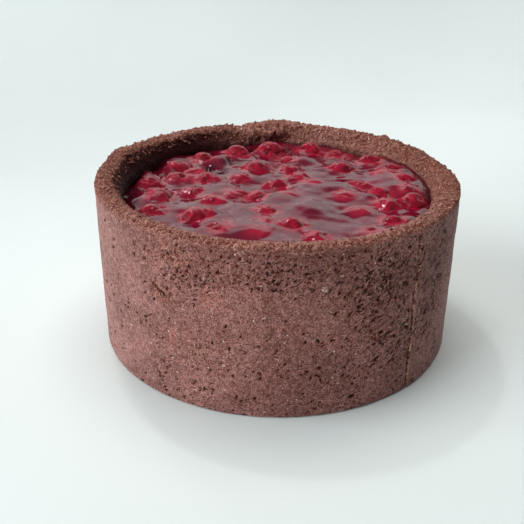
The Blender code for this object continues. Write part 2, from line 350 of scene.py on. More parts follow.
# The view: from the front, with the camera turned down.
CAMERA_PLACE = (-7.3 * MM, -358.1 * MM, 207.7 * MM)
CAMERA_PITCH = 26.0
CAMERA_ROLL = 0.34
CAMERA_LENS = 51.6

# ---------------- noise

HASH_FACTORS = (0x8DA6B343, 0xD8163841, 0xCB1AB31F)
HASH_ROUNDS = ((15, 0x2C1B3C6D), (12, 0x297A2D39), (15, 0x1B56C4E9))


def lattice_number(cells, layer):
    """A random number from 0 to 1 for each cell of a grid, always the same in the same layer."""
    whole = cells.astype(np.int64).astype(np.uint32)
    mixed = np.full(whole.shape[:-1], (SEED + layer) * HASH_FACTORS[0] % 2**32, np.uint32)
    for axis, factor in enumerate(HASH_FACTORS):
        mixed ^= whole[..., axis] * np.uint32(factor)
    for shift, factor in HASH_ROUNDS:
        mixed ^= mixed >> np.uint32(shift)
        mixed *= np.uint32(factor)
    mixed ^= mixed >> np.uint32(16)
    return mixed / 2.0**32


def soft_noise(points, size, layer):
    """Smooth noise from -1 to 1, with lumps about as wide as size."""
    scaled = points / size
    cell = np.floor(scaled)
    share = scaled - cell
    share = share * share * (3.0 - 2.0 * share)
    total = np.zeros(points.shape[:-1])
    for corner in itertools.product((0, 1), repeat=3):
        weight = np.prod(np.where(np.array(corner, bool), share, 1.0 - share), axis=-1)
        total += weight * lattice_number(cell + corner, layer)
    return 2.0 * total - 1.0


def rough_noise(points, size, layer):
    """Noise with three finer and finer parts."""
    return sum(soft_noise(points, size / 2**part, layer + part) / 2**part for part in range(3))


def creases(points, size, layer):
    """0 between the creases and 1 along them."""
    return 1.0 - np.minimum(1.0, 3.5 * np.abs(soft_noise(points, size, layer)))


def scattered_cells(points, size, layer):
    """Distance to the nearest scattered point, in sizes, and that point's random number."""
    scaled = points / size
    cell = np.floor(scaled)
    nearest = np.full(points.shape[:-1], 9.0)
    number = np.zeros(points.shape[:-1])
    for step in itertools.product((-1, 0, 1), repeat=3):
        place = cell + step
        jitter = np.stack([lattice_number(place, layer + axis) for axis in range(3)], axis=-1)
        distance = np.linalg.norm(place + jitter - scaled, axis=-1)
        closer = distance < nearest
        nearest = np.where(closer, distance, nearest)
        number = np.where(closer, lattice_number(place, layer + 3), number)
    return nearest, number


def warped(points, size, reach, layer):
    """The points, each moved a little, so that what is drawn from them is uneven."""
    moves = [soft_noise(points, size, layer + axis) for axis in range(3)]
    return points + reach * np.stack(moves, axis=-1)


def bell(distance, half_width):
    return np.exp(-((distance / half_width) ** 2))


def smooth_step(value, low, high):
    share = np.clip((value - low) / (high - low), 0.0, 1.0)
    return share * share * (3.0 - 2.0 * share)


def degrees_between(azimuth, other):
    return (azimuth - other + 180.0) % 360.0 - 180.0


def near_azimuth(azimuth, middle, half_width):
    """1 at an azimuth, fading out at about its half width."""
    return bell(degrees_between(azimuth, middle), half_width)


def azimuth_of(points):
    return np.degrees(np.arctan2(points[..., 1], points[..., 0]))


# ---------------- meshes


def add_object(name, data):
    made = bpy.data.objects.new(name, data)
    bpy.context.scene.collection.objects.link(made)
    return made


def smooth_mesh(name, points, faces, material):
    mesh = bpy.data.meshes.new(name)
    mesh.from_pydata(points, [], faces)
    mesh.shade_smooth()
    mesh.materials.append(material)
    return mesh


def add_piece(name, points, faces, material, nodes, attributes=None):
    """A smooth shaded mesh that rides on the cake and stands for its nodes."""
    mesh = smooth_mesh(name, points.reshape(-1, 3).tolist(), faces, material)
    for key, values in (attributes or {}).items():
        layer = mesh.attributes.new(key, "FLOAT", "POINT")
        layer.data.foreach_set("value", np.ravel(values).astype(np.float32))
    piece = add_object(name, mesh)
    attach(piece, "root")
    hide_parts(*nodes)


def ring_faces(rings, steps, closed=False):
    """Quads between rings of points, which run up the outside."""
    index = np.arange(rings * steps).reshape(rings, steps)
    lower = index if closed else index[:-1]
    upper = np.roll(index, -1, axis=0) if closed else index[1:]
    corners = (lower, np.roll(lower, -1, axis=1), np.roll(upper, -1, axis=1), upper)
    return np.stack(corners, axis=-1).reshape(-1, 4).tolist()


def cap_faces(ring, middle, upwards):
    """Triangles from a ring of point numbers to one in its middle."""
    pairs = zip(ring, ring[1:] + ring[:1])
    return [(middle, first, second) if upwards else (middle, second, first) for first, second in pairs]


def ball(subdivisions, radius):
    """Points and faces of an even ball of triangles."""
    builder = bmesh.new()
    bmesh.ops.create_icosphere(builder, subdivisions=subdivisions, radius=radius)
    points = [vertex.co.copy() for vertex in builder.verts]
    faces = [[vertex.index for vertex in face.verts] for face in builder.faces]
    builder.free()
    return points, faces


def around(radius, azimuth, height):
    """Points at a radius, azimuth and height, each a number or an array."""
    radius, angle, height = np.broadcast_arrays(radius, np.radians(azimuth), height)
    return np.stack([radius * np.cos(angle), radius * np.sin(angle), height], axis=-1)


def surface_normals(points):
    """Unit normals of a grid of points: rings first, then steps round each ring."""
    along = np.gradient(points, axis=0)
    across = np.roll(points, -1, axis=1) - np.roll(points, 1, axis=1)
    normal = np.cross(across, along)
    return normal / np.maximum(np.linalg.norm(normal, axis=-1, keepdims=True), 1e-12)


def inside_limits(points):
    """The points, kept within the solid's outside."""
    radius = np.hypot(points[..., 0], points[..., 1])
    pull = np.minimum(1.0, CASE_RADIUS / np.maximum(radius, MM))
    kept = points.copy()
    kept[..., 0] *= pull
    kept[..., 1] *= pull
    kept[..., 2] = np.clip(kept[..., 2], 0.0, TOP_LIMIT)
    return kept


# ---------------- the crumb wall


def rim_height(azimuth):
    height = RIM_HEIGHT + RIM_SLOPE * np.cos(np.radians(azimuth - RIM_SLOPE_AZIMUTH))
    for *bump, rise in RIM_BUMPS:
        height = height + rise * MM * near_azimuth(azimuth, *bump)
    return height


def joint_offset(points, azimuth):
    """Degrees from the upright joint, which wanders a little."""
    along = np.zeros_like(points)
    along[..., 2] = points[..., 2]
    return degrees_between(azimuth, JOINT_AZIMUTH) + JOINT_WANDER * soft_noise(along, JOINT_BEND_SIZE, 0)


def joint_relief(points, azimuth):
    """How far the wall stands in or out at the upright joint."""
    offset = joint_offset(points, azimuth)
    foot = np.maximum(0.0, 1.0 - points[..., 2] / JOINT_FOOT_HEIGHT)
    uneven = 1.0 + 0.6 * soft_noise(points, 4.0 * MM, 1)
    groove = uneven * (JOINT_DEPTH + JOINT_FOOT_CRACK * foot) * bell(offset, JOINT_HALF_WIDTH)
    lip = np.where(offset > 0.0, JOINT_LIP * bell(offset, JOINT_LIP_SPREAD), 0.0)
    return lip - groove


def near_zone(points, azimuth, middle, height, half_width, half_height):
    """1 in the middle of a zone of the wall, fading out at its half width and half height."""
    beside = degrees_between(azimuth, middle) / half_width
    above = (points[..., 2] - height * MM) / (half_height * MM)
    return np.exp(-(beside**2) - above**2)


def from_place(points, azimuth, torn, middle, height):
    """How far the torn points lie beside and above a place on the wall."""
    beside = np.radians(degrees_between(azimuth, middle)) * CASE_RADIUS + torn[..., 0] - points[..., 0]
    return beside, torn[..., 2] - height * MM


def pit_share(points, azimuth):
    """The share of places that have a pit, by where on the wall they are."""
    share = PIT_SHARE + PIT_SHARE_SPREAD * soft_noise(points, PIT_PATCH_SIZE, 2)
    for *zone, more in PIT_ZONES:
        share = share + more * near_zone(points, azimuth, *zone)
    return np.clip(share, 0.02, 0.95)


def pits(points, azimuth):
    """How deep the wall is pitted, from 0 to 1."""
    share = pit_share(points, azimuth)
    torn = warped(points, *PIT_WARP, 3)
    distance, number = scattered_cells(torn, PIT_SPACING, 6)
    reach = np.where(number < share, 0.2 + 0.24 * number / share, 0.0)
    return smooth_step(reach - distance, 0.0, 0.16) * np.minimum(1.0, 1.6 - number)


def cracks(points, azimuth):
    """Depth of the few long cracks in the wall."""
    torn = warped(points, *CRACK_WARP, 11)
    depth = np.zeros(points.shape[:-1])
    for middle, height, half_length, rise, most in CRACKS:
        beside, above = from_place(points, azimuth, torn, middle, height)
        slope = math.radians(rise)
        along = beside * math.cos(slope) + above * math.sin(slope)
        across = above * math.cos(slope) - beside * math.sin(slope)
        here = most * MM * bell(along, half_length * MM) ** 2 * bell(across, CRACK_WIDTH)
        depth = np.maximum(depth, here)
    return depth


def crumbliness(points, azimuth):
    """How loose the crumbs of the wall are, from 0 to 1."""
    below_rim = rim_height(azimuth) - points[..., 2]
    loose = bell(below_rim, 2.6 * MM) + 0.35 * bell(below_rim, 8.0 * MM)
    for *patch, most in CRUMBLY_PATCHES:
        loose = np.maximum(loose, most * near_zone(points, azimuth, *patch))
    upper = smooth_step(points[..., 2], 35.0 * MM, 60.0 * MM)
    at_joint = bell(joint_offset(points, azimuth) - JOINT_RIDGE_OFFSET, 1.1)
    loose = np.maximum(loose, (0.3 + 0.6 * upper) * at_joint)
    return np.clip(loose + 0.3 * soft_noise(points, 5.0 * MM, 12), 0.0, 1.0)


def joint_groove(points, azimuth):
    """The broken line of painted shade in the upright joint's groove, from 0 to 1, weaker high up."""
    broken = smooth_step(soft_noise(points, 2.6 * MM, 28), -0.7, 0.1)
    lower = 1.0 - 0.5 * smooth_step(points[..., 2], 30.0 * MM, 55.0 * MM)
    return 0.85 * lower * broken * bell(joint_offset(points, azimuth) + 0.1, 0.32)


def wall_relief(points, azimuth):
    """How far the wall stands in or out, how pitted it is, as a mask of painted shade in its pits,
    cracks, joint groove and the gaps between loose crumbs, and how loose its crumbs are.
    """
    pit = pits(points, azimuth)
    crack = cracks(points, azimuth)
    distance, _ = scattered_cells(points, WALL_CRUMB_SIZE, 15)
    loose = crumbliness(points, azimuth)
    relief = -np.abs(WALL_DENTS * rough_noise(points, WALL_DENT_SIZE, 20))
    relief = relief + joint_relief(points, azimuth) - PIT_DEPTH * pit - crack
    relief = relief + WALL_GRAIN * soft_noise(points, WALL_GRAIN_SIZE, 25)
    relief = relief - loose * LOOSE_DEPTH * smooth_step(distance, 0.25, 0.7)
    between = 0.6 * loose * smooth_step(distance, 0.5, 0.75)
    # painted shade in the pits, cracks, the joint's groove and the gaps between loose crumbs
    shown = pit + crack / (0.8 * MM) + joint_groove(points, azimuth) + between
    return relief, np.clip(shown, 0.0, 1.0), loose


def placed_glints(points, azimuth):
    """Where the few placed painted glints of the wall are, from 0 to 1."""
    torn = warped(points, *GLINT_WARP, 80)
    pale = np.zeros(points.shape[:-1])
    for place in GLINT_PLACES:
        distance = np.hypot(*from_place(points, azimuth, torn, *place))
        pale = np.maximum(pale, bell(distance, 0.6 * GLINT_SIZE))
    return pale


def fresh_patches(points, azimuth):
    """Where crumbs broke off the wall lately, from 0 to 1."""
    fresh = np.zeros(points.shape[:-1])
    for patch in FRESH_PATCHES:
        fresh = np.maximum(fresh, near_zone(points, azimuth, *patch))
    return 0.7 * smooth_step(fresh + 0.7 * rough_noise(points, 2.0 * MM, 31), 0.4, 1.0)


def joint_ridge_highlight(points, azimuth):
    """The crumbly ridge on the right of the upright joint, from 0 to 1: tan crumbs, painted lighter as a
    highlight on the lip's lit edge.
    """
    broken = smooth_step(soft_noise(points, 3.0 * MM, 29), -0.6, 0.2)
    return (0.4 + 0.6 * broken) * bell(joint_offset(points, azimuth) - JOINT_RIDGE_OFFSET, 0.38)


def wall_azimuths():
    """Even steps round the wall, with closer ones at the upright joint."""
    even = np.arange(WALL_STEPS) * 360.0 / WALL_STEPS
    close = (JOINT_AZIMUTH + np.linspace(-2.0, 2.0, JOINT_STEPS)) % 360.0
    return np.unique(np.concatenate([even, close]))


def wall_columns(azimuth):
    """Radius and height of the wall's rings, from the foot to where the rim takes over."""
    top = rim_height(azimuth) - RIM_ROUND
    turns = np.radians(np.array([0.0, 30.0, 60.0, 90.0]))
    radii = [CASE_RADIUS - FOOT_ROUND * (1.0 - math.sin(turn)) + 0.0 * azimuth for turn in turns]
    heights = [FOOT_ROUND * (1.0 - math.cos(turn)) + 0.0 * azimuth for turn in turns]
    for share in np.linspace(0.0, 1.0, WALL_RINGS)[1:]:
        radii.append(CASE_RADIUS + 0.0 * azimuth)
        heights.append(FOOT_ROUND + (top - FOOT_ROUND) * share)
    return np.array(radii), np.array(heights), top


def hidden_rings(azimuth, top):
    """The wall's own inside, which the rim and the jelly hide."""
    section = (
        (CASE_RADIUS - 1.5 * MM, top + 0.6 * MM),
        (CASE_RADIUS - 5.0 * MM, top - 1.0 * MM),
        (HOLLOW_RADIUS + 4.0 * MM, HOLLOW_FLOOR + 6.0 * MM),
        (HOLLOW_RADIUS + 4.0 * MM, HOLLOW_FLOOR),
    )
    return np.stack([around(radius, azimuth, height) for radius, height in section])


def build_wall(material):
    """The wall with its foot, its underside and its hidden inside; gives its outer points."""
    azimuth = wall_azimuths()
    count = len(azimuth)
    radii, heights, top = wall_columns(azimuth)
    every_azimuth = azimuth + 0.0 * radii
    smooth = around(radii, azimuth, heights)
    relief, pit, loose = wall_relief(smooth, every_azimuth)
    shown = {
        "pit": pit,
        "loose": loose,
        "crowd": pit_share(smooth, every_azimuth),
        # painted glints
        "pale": placed_glints(smooth, every_azimuth),
        "fresh": fresh_patches(smooth, every_azimuth),
        "ridge": joint_ridge_highlight(smooth, every_azimuth),
    }
    relief = relief * smooth_step(heights, 0.0, 1.0 * MM)
    outside = inside_limits(around(radii + relief, azimuth, heights))
    rings = np.concatenate([outside, hidden_rings(azimuth, top)])
    hidden = np.zeros((len(rings) - len(outside), count))
    middles = (0.0, 0.0)
    attributes = {key: np.append(np.concatenate([part, hidden]), middles) for key, part in shown.items()}
    points = np.concatenate([rings.reshape(-1, 3), [(0.0, 0.0, 0.0), (0.0, 0.0, HOLLOW_FLOOR)]])
    numbers = list(range(len(rings) * count))
    faces = ring_faces(len(rings), count)
    faces += cap_faces(numbers[:count], len(points) - 2, upwards=False)
    faces += cap_faces(numbers[-count:], len(points) - 1, upwards=True)
    add_piece("crumb_wall", points, faces, material, ("crust",), attributes)
    return outside


# ---------------- the crumb rim


def rim_controls(azimuth):
    """Radius, height and crumbliness of the rim's section, from the wall to the jelly."""
    top = rim_height(azimuth)
    inner = CASE_RADIUS - RIM_WIDTH
    hang = OVERHANG_REACH * near_azimuth(azimuth, *OVERHANG)
    front = near_azimuth(azimuth, *WORN_FRONT)
    worn = FRONT_WEAR * front
    rough = 1.0 - 0.6 * front
    section = (
        (CASE_RADIUS - 0.8 * MM, top - RIM_ROUND - 2.2 * MM, 0.0),
        (CASE_RADIUS - 0.05 * MM, top - RIM_ROUND, 0.3),
        (CASE_RADIUS - 0.3 * RIM_ROUND, top - 0.35 * RIM_ROUND, 0.9),
        (CASE_RADIUS - 1.1 * RIM_ROUND, top, 1.0),
        (CASE_RADIUS - 0.6 * RIM_WIDTH, top + 0.1 * MM, 0.9 * rough),
        (inner + 0.6 * MM - 0.5 * hang, top - 0.9 * MM - worn, rough),
        (inner - 0.7 * MM - hang, top - 2.8 * MM - 0.6 * worn, 0.8 * rough),
        (inner - 2.0 * MM - 0.9 * hang, top - 5.2 * MM, 0.6),
        (HOLLOW_RADIUS + 0.3 * MM, HOLLOW_LINE, 0.6),
        (HOLLOW_RADIUS, JELLY_LEVEL - 3.0 * MM, 0.4),
    )
    return np.array([[part + 0.0 * azimuth for part in control] for control in section])


def curve_through(controls, count):
    """Evenly spread points of a smooth curve through the controls."""
    sizes = np.linalg.norm(np.diff(controls[:, :2].mean(axis=-1), axis=0), axis=-1)
    knots = np.concatenate([[0.0], np.cumsum(sizes)])
    slopes = np.gradient(controls, knots, axis=0)
    curve = []
    for distance in np.linspace(0.0, knots[-1], count):
        part = min(np.searchsorted(knots, distance, side="right") - 1, len(sizes) - 1)
        share = (distance - knots[part]) / sizes[part]
        ahead = share * share * (3.0 - 2.0 * share)
        leave = share * (1.0 - share) ** 2 * sizes[part]
        arrive = share * share * (share - 1.0) * sizes[part]
        point = controls[part] * (1.0 - ahead) + controls[part + 1] * ahead
        curve.append(point + leave * slopes[part] + arrive * slopes[part + 1])
    return np.array(curve)


def rim_relief(points, loose):
    """How far the rim's crumbs stand out or in."""
    torn = warped(points, *RIM_WARP, 30)
    clump, _ = scattered_cells(torn, CLUMP_SIZE, 33)
    crumb, number = scattered_cells(torn, RIM_CRUMB_SIZE, 37)
    relief = 0.5 * RIM_WAVES * soft_noise(points, RIM_WAVE_SIZE, 41)
    relief = relief + CLUMP_HEIGHT * (0.5 - smooth_step(clump, 0.1, 0.8))
    relief = relief + (0.25 + 0.8 * number) * MM * (0.4 - smooth_step(crumb, 0.1, 0.7))
    relief = relief + 0.12 * MM * soft_noise(points, 0.7 * MM, 44)
    return relief * loose + overhang_lumps(points)


def overhang_lumps(points):
    """The upright lumps of crumbs that hang in over the jelly at the back."""
    drawn = points * np.array((1.0, 1.0, 0.6))
    there = near_azimuth(azimuth_of(points), *OVERHANG)
    radius = np.hypot(points[..., 0], points[..., 1])
    inner = smooth_step(radius, CASE_RADIUS - 6.0 * MM, CASE_RADIUS - 9.0 * MM)
    return OVERHANG_LUMPS * there * inner * soft_noise(drawn, OVERHANG_LUMP_SIZE, 82)


def rim_side_shade(azimuth):
    """How much shade is painted on the rim, most at its left and right."""
    return sum(most * near_azimuth(azimuth, *part) for *part, most in SHADED_SIDES)


def rim_juice_and_shade(points, azimuth):
    """Painted shade on the inner side: darkest high up at the back left, where the rim shades it, and a
    dark line near the jelly that is partly juice stain and partly painted shade, left off the lit side.
    """
    near_jelly = points[..., 2] + 0.6 * MM * soft_noise(points, 4.0 * MM, 46)
    line = smooth_step(near_jelly, *JUICE_AND_SHADE_LINE)
    middle, half_width = BACK_LEFT_SHADE
    shaded = np.exp(-((degrees_between(azimuth, middle) / half_width) ** 8))
    below_rim = rim_height(azimuth) - points[..., 2]
    uneven = below_rim + 0.9 * MM * soft_noise(points, 2.5 * MM, 47)
    shaded = shaded * smooth_step(uneven, 0.6 * MM, 2.2 * MM)
    inner = np.hypot(points[..., 0], points[..., 1]) < CASE_RADIUS - 0.7 * RIM_WIDTH
    lit = near_azimuth(azimuth, *LIT_SIDE)
    return np.where(inner, np.maximum(0.6 * (1.0 - lit) * line, 0.97 * shaded), 0.0)


def build_rim(material):
    """The torn rim with its hidden back; gives the points that show."""
    azimuth = np.arange(RIM_STEPS) * 360.0 / RIM_STEPS
    curve = curve_through(rim_controls(azimuth), RIM_RINGS)
    radius, height, loose = curve[:, 0], curve[:, 1], curve[:, 2]
    smooth = around(radius, azimuth, height)
    relief = rim_relief(smooth, loose)
    outside = inside_limits(smooth + surface_normals(smooth) * relief[..., None])
    back_radii = (HOLLOW_RADIUS + 1.0 * MM, CASE_RADIUS - 5.0 * MM)
    backs = [around(back_radius, azimuth, JELLY_LEVEL - 4.5 * MM) for back_radius in back_radii]
    rings = np.concatenate([outside, backs])
    hidden = np.zeros((len(backs), RIM_STEPS))
    shown = {
        # painted shade on the rim's left and right sides
        "side_shade": rim_side_shade(azimuth) * smooth_step(loose, 0.2, 0.6),
        # painted shade where the rim's crumbs sink in
        "pit": 0.3 * smooth_step(-relief, 0.2 * MM, 0.6 * MM),
        "loose": loose,
        # painted shade on the inner side, with a juice line near the jelly
        "juice_and_shade": rim_juice_and_shade(smooth, azimuth + 0.0 * radius),
    }
    attributes = {key: np.concatenate([part, hidden]) for key, part in shown.items()}
    faces = ring_faces(len(rings), RIM_STEPS, closed=True)
    add_piece("crumb_rim", rings, faces, material, ("crust",), attributes)
    return outside


def uneven_lump(ball_points, draw):
    """The points of a ball, turned, stretched and dented."""
    turn = Euler([draw.uniform(0.0, math.tau) for _ in range(3)]).to_matrix()
    stretch = Vector([draw.uniform(0.6, 1.3) for _ in range(3)])
    return np.array([turn @ (point * draw.uniform(0.8, 1.2) * stretch) for point in ball_points])


def rim_places(rim, draw):
    """Places for loose crumbs on the rim, fewer at its worn front."""
    places = []
    for _ in range(RIM_CRUMBS):
        place = rim[draw.randrange(*RIM_CRUMB_RINGS), draw.randrange(RIM_STEPS)]
        if draw.random() > FRONT_BARENESS * -place[1] / CASE_RADIUS:
            places.append(place)
    return places


def build_crumbs(rim, wall, material):
    """Loose crumbs of 20 faces, half sunk in the surface that they stick to."""
    draw = random.Random(SEED)
    places = rim_places(rim, draw)
    rows = [int(draw.expovariate(1.0 / WALL_CRUMB_RINGS)) for _ in range(WALL_CRUMBS)]
    places += [wall[min(row, WALL_RINGS - 8) + 4, draw.randrange(wall.shape[1])] for row in rows]
    ball_points, ball_faces = ball(1, 0.5)
    smallest, largest = CRUMB_SIZES
    points, faces = [], []
    for place in places:
        shape = uneven_lump(ball_points, draw)
        size = smallest + (largest - smallest) * draw.random() ** 3
        first = len(ball_points) * len(points)
        faces += [[first + corner for corner in face] for face in ball_faces]
        points.append(place + size * shape)
    points = inside_limits(np.concatenate(points))
    attributes = {"pit": np.zeros(len(points)), "loose": np.ones(len(points))}
    add_piece("loose_crumbs", points, faces, material, ("crust",), attributes)


# ---------------- the jelly


def cherry_nodes():
    """The nodes of the cherries that stand out of the jelly."""
    return sorted(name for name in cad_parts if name.startswith("cherry_"))


def cherry_spheres():
    """East, north, crown height and radius of each cherry that stands out."""
    spheres = []
    for node in cherry_nodes():
        low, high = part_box(node)
        middle = (low + high) / 2.0
        radius = (high.x - low.x + high.y - low.y) / 4.0
        spheres.append((middle.x, middle.y, high.z, radius))
    return spheres


def sunk_spheres():
    """The same numbers for each cherry that shows only as a hump."""
    return [
        (east * MM, north * MM, JELLY_LEVEL + rise * MM, diameter * MM / 2.0)
        for east, north, diameter, rise in SUNK_CHERRIES
    ]


def disc_points(radius, rings):
    """Points on rings, each with six more points than the ring inside it."""
    counts = [max(1, 6 * ring) for ring in range(rings + 1)]
    parts = [
        around(radius * ring / rings, np.arange(count) * 360.0 / count, 0.0)
        for ring, count in enumerate(counts)
    ]
    return np.concatenate(parts)


def disc_faces(rings):
    """Triangles between the rings of disc_points."""
    starts = [0] + [1 + 3 * ring * (ring - 1) for ring in range(1, rings + 2)]
    faces = []
    for ring in range(rings):
        inner_count = max(1, 6 * ring)
        outer_count = 6 * (ring + 1)
        for step in range(outer_count):
            sector, place = divmod(step, ring + 1)
            near = starts[ring] + (sector * ring + place) % inner_count
            first = starts[ring + 1] + step
            second = starts[ring + 1] + (step + 1) % outer_count
            faces.append((near, first, second))
            if place < ring:
                following = starts[ring] + (sector * ring + place + 1) % inner_count
                faces.append((near, second, following))
    return faces


def smooth_max(first, second, blend):
    overlap = np.maximum(blend - np.abs(first - second), 0.0) / blend
    return np.maximum(first, second) + overlap**2 * blend / 4.0


def bareness(east, north):
    """How far a cherry is left bare by the jelly: most at the back and beside the rim."""
    at_back = smooth_step(north, 26.0 * MM, 50.0 * MM)
    beside_rim = 0.5 * smooth_step(math.hypot(east, north), 56.0 * MM, 66.0 * MM)
    return min(1.0, float(at_back + beside_rim))


def hump_height(bent, sphere, bare, draw):
    """The jelly's hump over one cherry: folded, and anything from a pointed tent to a dome."""
    east, north, crown, radius = sphere
    right = bent[:, 0] - east
    ahead = bent[:, 1] - north
    angle = np.arctan2(ahead, right)
    beside = np.hypot(right, ahead)
    for count, share in HUMP_FOLDS:
        beside = beside * (1.0 + share * np.cos(count * angle + draw.uniform(0.0, math.tau)))
    rise = max(LEAST_HUMP, crown + HUMP_FILM - BARE_CROWN * bare - JELLY_LEVEL)
    width = HUMP_WIDTH * (1.0 + BARE_SPREAD * bare) * radius
    point = draw.uniform(*HUMP_POINTS) * (1.0 - bare) + HUMP_POINTS[1] * bare
    return JELLY_LEVEL + rise * (1.0 - (beside / width) ** point)


def resting_height(flat, bent):
    """Height of the jelly's top as it would be without its cherries."""
    height = JELLY_LEVEL + JELLY_WAVES * soft_noise(flat, JELLY_WAVE_SIZE, 54)
    height = height + RIPPLE_HEIGHT * soft_noise(flat, RIPPLE_SIZE, 55)
    for *swell, rise in JELLY_SWELLS:
        height = height + rise * MM * near_place(flat, *swell)
    for *hollow, fall in JELLY_HOLLOWS:
        height = height - fall * MM * near_place(bent, *hollow)
    return height


def folded(height, flat, lifted):
    """The height with creases and fine wrinkles, most where a cherry lifts the jelly."""
    fold = creases(warped(flat, *CREASE_WARP, 57), CREASE_SIZE, 60)
    height = height + (0.05 + 0.95 * lifted) * CREASE_DEPTH * (fold**2 - 0.4)
    wrinkle = creases(warped(flat, *WRINKLE_WARP, 62), WRINKLE_SPACING, 65)
    wrinkled = 0.7 + 0.8 * smooth_step(flat[:, 0], 10.0 * MM, -40.0 * MM)
    return height + wrinkled * lifted * WRINKLE_RISE * (wrinkle**2 - 0.3)


def edge_dip(flat):
    """How far the jelly dips beside the case, most on the left."""
    left = near_azimuth(azimuth_of(flat), *LEFT_SIDE)
    return (EDGE_DIP + LEFT_DIP * left) * bell(from_edge(flat), EDGE_SPREAD + LEFT_SPREAD * left)


def draped_height(flat):
    """Height of the jelly's top, drawn up over and round the cherries."""
    draw = random.Random(SEED)
    bent = flat
    for size, reach in HUMP_WARPS:
        bent = warped(bent, size, reach, 50)
    level = resting_height(flat, bent)
    height = level
    for sphere in cherry_spheres():
        height = smooth_max(height, hump_height(bent, sphere, bareness(*sphere[:2]), draw), HUMP_BLEND)
    for sphere in sunk_spheres():
        height = smooth_max(height, hump_height(bent, sphere, 0.0, draw), HUMP_BLEND)
    lifted = smooth_step(height - level, 0.2 * MM, 2.0 * MM)
    return folded(height, flat, lifted) - SKIN_CRACK_DEPTH * skin_cracks(flat) - edge_dip(flat)


def skin_cracks(flat):
    """The fine dark cracks in the jelly's skin, from 0 to 1."""
    torn = flat
    for size, reach, layer in SKIN_CRACK_WARPS:
        torn = warped(torn, size, reach, layer)
    line = 1.0 - np.minimum(1.0, 9.0 * np.abs(soft_noise(torn, SKIN_CRACK_SPACING, 96)))
    broken = smooth_step(soft_noise(flat, 7.0 * MM, 97), -0.1, 0.4)
    return line * broken * smooth_step(flat[:, 1] - 0.6 * flat[:, 0], -10.0 * MM, 50.0 * MM)


def near_place(points, east, north, radius):
    """1 at a place given in millimetres, fading out at about its radius."""
    return bell(np.hypot(points[:, 0] - east * MM, points[:, 1] - north * MM), radius * MM)


def from_edge(points):
    return HOLLOW_RADIUS - np.hypot(points[:, 0], points[:, 1])


def edge_shade(points):
    """How much shade is painted on the jelly beside the case, from 0 to 1, widest at the back left."""
    azimuth = azimuth_of(points)
    left = DARK_LEFT_REACH * near_azimuth(azimuth, *DARK_LEFT)
    right = DARK_RIGHT_REACH * near_azimuth(azimuth, *DARK_RIGHT)
    width = (1.2 - 0.8 * near_azimuth(azimuth, *CLEAR_BACK)) * MM + left + right
    return bell(from_edge(points), width) * np.where(right > left, 0.65, 1.0)


def jelly_shade(points):
    """How much shade is painted on the jelly in its hollows, in its cracks and beside the case, from 0
    to 1.
    """
    flat = points * np.array((1.0, 1.0, 0.0))
    dark = np.maximum(edge_shade(points), 0.8 * skin_cracks(flat))
    for *hollow, _ in JELLY_HOLLOWS:
        dark = np.maximum(dark, 0.9 * near_place(points, *hollow))
    return dark


def cherry_depth(points):
    """Distance from the jelly's surface to the nearest cherry under it."""
    depth = np.full(len(points), 9.0)
    for east, north, crown, radius in cherry_spheres() + sunk_spheres():
        middle = np.array((east, north, crown - radius))
        depth = np.minimum(depth, np.linalg.norm(points - middle, axis=1) - radius)
    return depth


def build_jelly(material):
    """The jelly's draped top, with its hidden edge and underside."""
    points = disc_points(HOLLOW_RADIUS + JELLY_OVERLAP, JELLY_RINGS)
    points[:, 2] = draped_height(points)
    count = 6 * JELLY_RINGS
    foot = points[-count:].copy()
    foot[:, 2] = JELLY_BOX[0].z
    every = np.concatenate([points, foot, [(0.0, 0.0, JELLY_BOX[0].z)]])
    faces = disc_faces(JELLY_RINGS)
    upper = list(range(len(points) - count, len(points)))
    lower = list(range(len(points), len(points) + count))
    for step in range(count):
        after = (step + 1) % count
        faces.append((lower[step], lower[after], upper[after], upper[step]))
    faces += cap_faces(lower, len(every) - 1, upwards=False)
    attributes = {"depth": cherry_depth(every) / MM, "dark": jelly_shade(every)}
    add_piece("jelly_glaze", every, faces, material, ("jelly",), attributes)


# ---------------- the cherries


def cherry_skin_points(directions, number, radius):
    """A wrinkled cherry's skin, with its stem dimple turned as in the solid."""
    draw = random.Random(SEED + number)
    turn = np.array(Euler([draw.uniform(0.0, math.tau) for _ in range(3)]).to_matrix())
    own_place = directions * radius + number * 40.0 * MM
    from_stem = np.arccos(np.clip(directions[:, 2], -1.0, 1.0))
    length = 1.0 - STEM_DIMPLE * bell(from_stem, STEM_DIMPLE_ANGLE)
    length = length + CHERRY_LUMPS * soft_noise(own_place, CHERRY_LUMP_SIZE, 70)
    skin = directions * (radius * length)[:, None]
    skin[:, 2] *= CHERRY_SQUASH
    torn = warped(own_place, *SKIN_WRINKLE_WARP, 73)
    wrinkle = creases(torn, SKIN_WRINKLE_SIZE, 76) ** 2
    skin = skin - directions * (SKIN_WRINKLE_DEPTH * wrinkle)[:, None]
    return skin @ turn.T


def build_cherry(node, material):
    """One cherry, made to fill the solid's box."""
    number = int(node.split("_")[1])
    low, high = (np.array(corner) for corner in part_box(node))
    directions, faces = ball(5, 1.0)
    skin = cherry_skin_points(np.array(directions), number, (high - low)[:2].mean() / 2.0)
    share = (skin - skin.min(axis=0)) / (skin.max(axis=0) - skin.min(axis=0))
    points = low + share * (high - low)
    add_piece(f"glazed_{node}", points, faces, material, (node,))


# ---------------- materials


